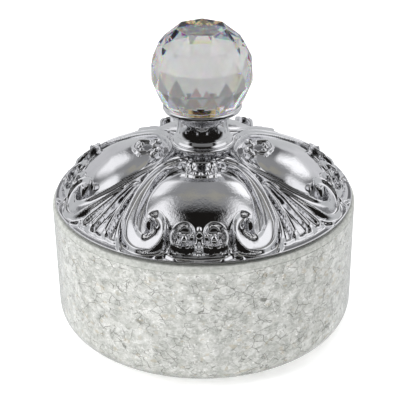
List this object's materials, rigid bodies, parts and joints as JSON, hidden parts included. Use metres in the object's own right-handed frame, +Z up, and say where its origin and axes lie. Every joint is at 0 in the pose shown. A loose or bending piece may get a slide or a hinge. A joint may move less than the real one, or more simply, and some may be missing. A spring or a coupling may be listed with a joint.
{
  "type": "trinket box",
  "caption": "Round crackle-glass trinket box with a lift-off domed chrome lid in scrollwork relief and a faceted crystal ball knob.",
  "frame": {"origin": "middle of the surface that the feet stand on, on the box's axis", "axes": "+Z up along the axis of the bowl, lid and knob; -Y towards the side shown as the front, +X to its right"},
  "size_m": [0.1052, 0.1052, 0.1086],
  "materials": {
    "crackle_glass": "clear glass crazed all through with fine pale cracks",
    "clear_glass": "polished clear",
    "bumper": "clear soft bumper",
    "cast_chrome": "bright plated casting with a lightly rippled surface",
    "plug_plate": "plated, plain",
    "seal": "clear soft seal",
    "turned_chrome": "mirror bright, turned",
    "crystal": "cut and polished facets",
    "bush_brass": "turned",
    "steel_hardware": "plain zinc-bright"
  },
  "bodies": {
    "base": {"crackle_jacket": "crackle_glass", "glass_bowl": "clear_glass", "bumper_foot_1": "bumper", "bumper_foot_2": "bumper", "bumper_foot_3": "bumper", "bumper_foot_4": "bumper"},
    "seal": {"seal_ring": "seal"},
    "lid": {"lid_casting": "cast_chrome", "locating_plug": "plug_plate", "knob_base": "turned_chrome", "knob_cup": "turned_chrome", "crystal_ball": "crystal", "ball_bush": "bush_brass", "knob_stud": "steel_hardware", "flat_washer": "steel_hardware", "hex_nut": "steel_hardware"}
  },
  "joints": [
    {"name": "lid_lift", "type": "slide", "parent": "base", "child": "seal", "axis": [0, 0, 1], "range_m": [0, 0.06]},
    {"name": "lid_turn", "type": "hinge", "parent": "seal", "child": "lid", "pos_m": [0, 0, 0.047], "axis": [0, 0, 1], "continuous": true}
  ]
}
